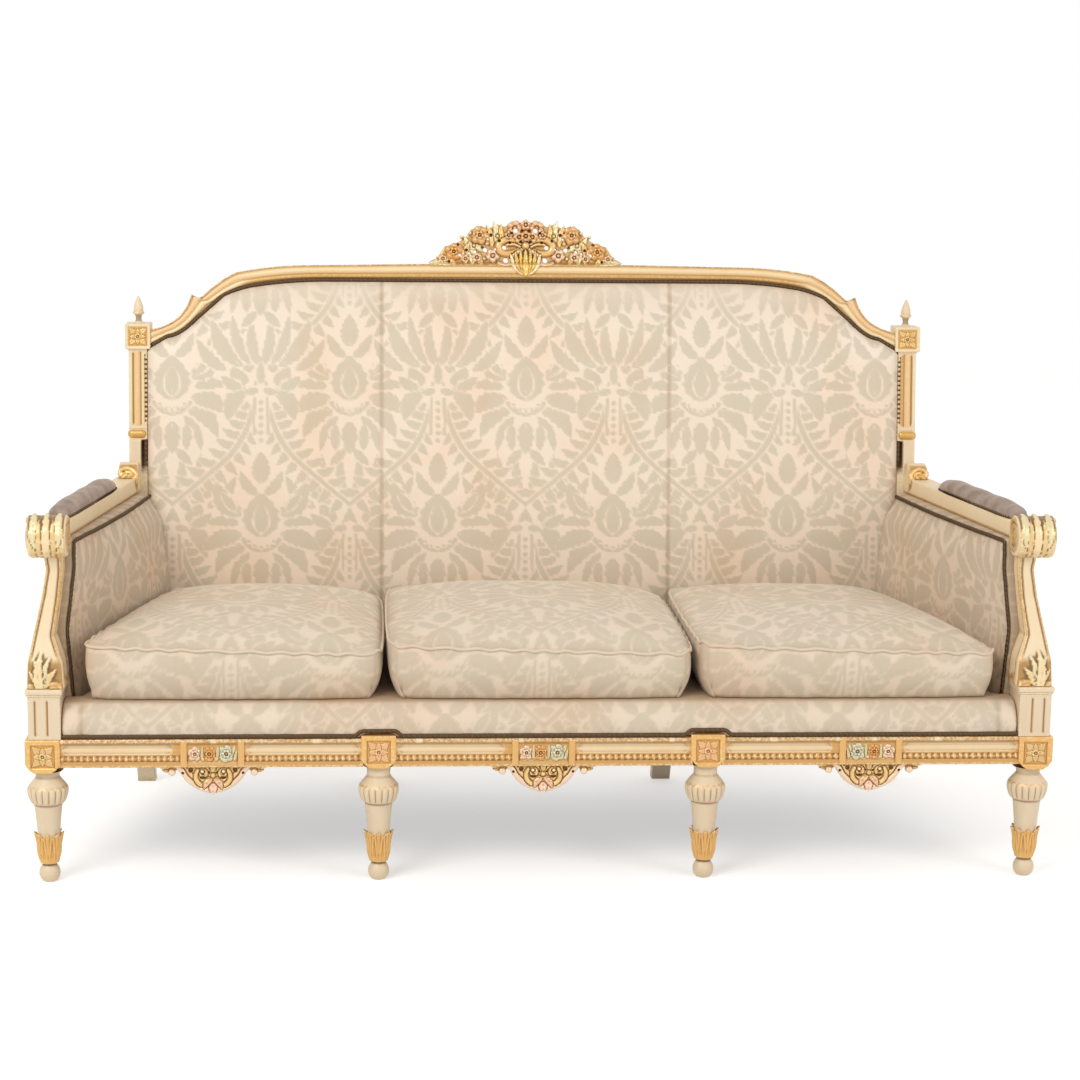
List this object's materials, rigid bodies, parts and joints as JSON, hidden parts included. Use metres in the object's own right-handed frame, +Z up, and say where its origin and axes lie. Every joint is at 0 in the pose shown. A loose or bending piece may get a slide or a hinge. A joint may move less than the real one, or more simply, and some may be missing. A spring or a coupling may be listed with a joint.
{
  "type": "three-seat settee",
  "caption": "Upholstered settee with a carved and gilded frame, turned legs, a high shaped back, padded arms and loose seat cushions.",
  "frame": {"origin": "on the floor, under the middle of the whole settee", "axes": "+X along the settee, to the right seen from the front; the front faces -Y; +Z up"},
  "size_m": [1.9552, 0.7598, 1.2268],
  "materials": {
    "cream_paint": "satin cream paint over beech, gilded mouldings",
    "painted_rear_wood": "plain cream paint over beech",
    "gilt_carving": "antique gilding with tinted flowers",
    "raw_beech": "raw beech",
    "webbing": "woven jute webbing",
    "dust_cloth": "thin black lining cloth",
    "damask": "satin damask",
    "velvet": "short pile velvet",
    "bronze_nails": "dark bronze"
  },
  "bodies": {
    "frame": {"front_rail_left": "cream_paint", "front_rail_centre": "cream_paint", "front_rail_right": "cream_paint", "front_leg_outer_left": "cream_paint", "front_leg_outer_right": "cream_paint", "front_leg_inner_left": "cream_paint", "front_leg_inner_right": "cream_paint", "rear_post_left": "cream_paint", "rear_post_right": "cream_paint", "finial_left": "cream_paint", "finial_right": "cream_paint", "crest_rail": "cream_paint", "arm_rest_left": "cream_paint", "arm_rest_right": "cream_paint", "arm_support_left": "cream_paint", "arm_support_right": "cream_paint", "rear_leg_inner_left": "painted_rear_wood", "rear_leg_inner_right": "painted_rear_wood", "rear_rail": "painted_rear_wood", "side_rail_left": "painted_rear_wood", "side_rail_right": "painted_rear_wood", "crest_carving": "gilt_carving", "apron_drop_left": "gilt_carving", "apron_drop_centre": "gilt_carving", "apron_drop_right": "gilt_carving", "die_rosettes": "gilt_carving", "block_rosettes": "gilt_carving", "rail_plaques": "gilt_carving", "cross_rail_left": "raw_beech", "cross_rail_right": "raw_beech", "back_lower_rail": "raw_beech", "back_upright_left": "raw_beech", "back_upright_right": "raw_beech", "corner_brace_front_left": "raw_beech", "corner_brace_front_right": "raw_beech", "corner_brace_rear_left": "raw_beech", "corner_brace_rear_right": "raw_beech", "seat_webbing": "webbing", "back_webbing": "webbing", "dust_cloth": "dust_cloth", "back_upholstery": "damask", "outside_back_cover": "damask", "seat_deck": "damask", "arm_panel_left": "damask", "arm_panel_right": "damask", "arm_cover_left": "damask", "arm_cover_right": "damask", "arm_pad_left": "velvet", "arm_pad_right": "velvet", "seat_nails": "bronze_nails", "back_nails": "bronze_nails", "arm_nails_left": "bronze_nails", "arm_nails_right": "bronze_nails"},
    "cushion_left": {"seat_cushion_left": "damask"},
    "cushion_centre": {"seat_cushion_centre": "damask"},
    "cushion_right": {"seat_cushion_right": "damask"}
  },
  "joints": [
    {"name": "lift_left", "type": "slide", "parent": "frame", "child": "cushion_left", "axis": [0, 0, 1], "range_m": [0, 0.45]},
    {"name": "lift_centre", "type": "slide", "parent": "frame", "child": "cushion_centre", "axis": [0, 0, 1], "range_m": [0, 0.45]},
    {"name": "lift_right", "type": "slide", "parent": "frame", "child": "cushion_right", "axis": [0, 0, 1], "range_m": [0, 0.45]}
  ]
}
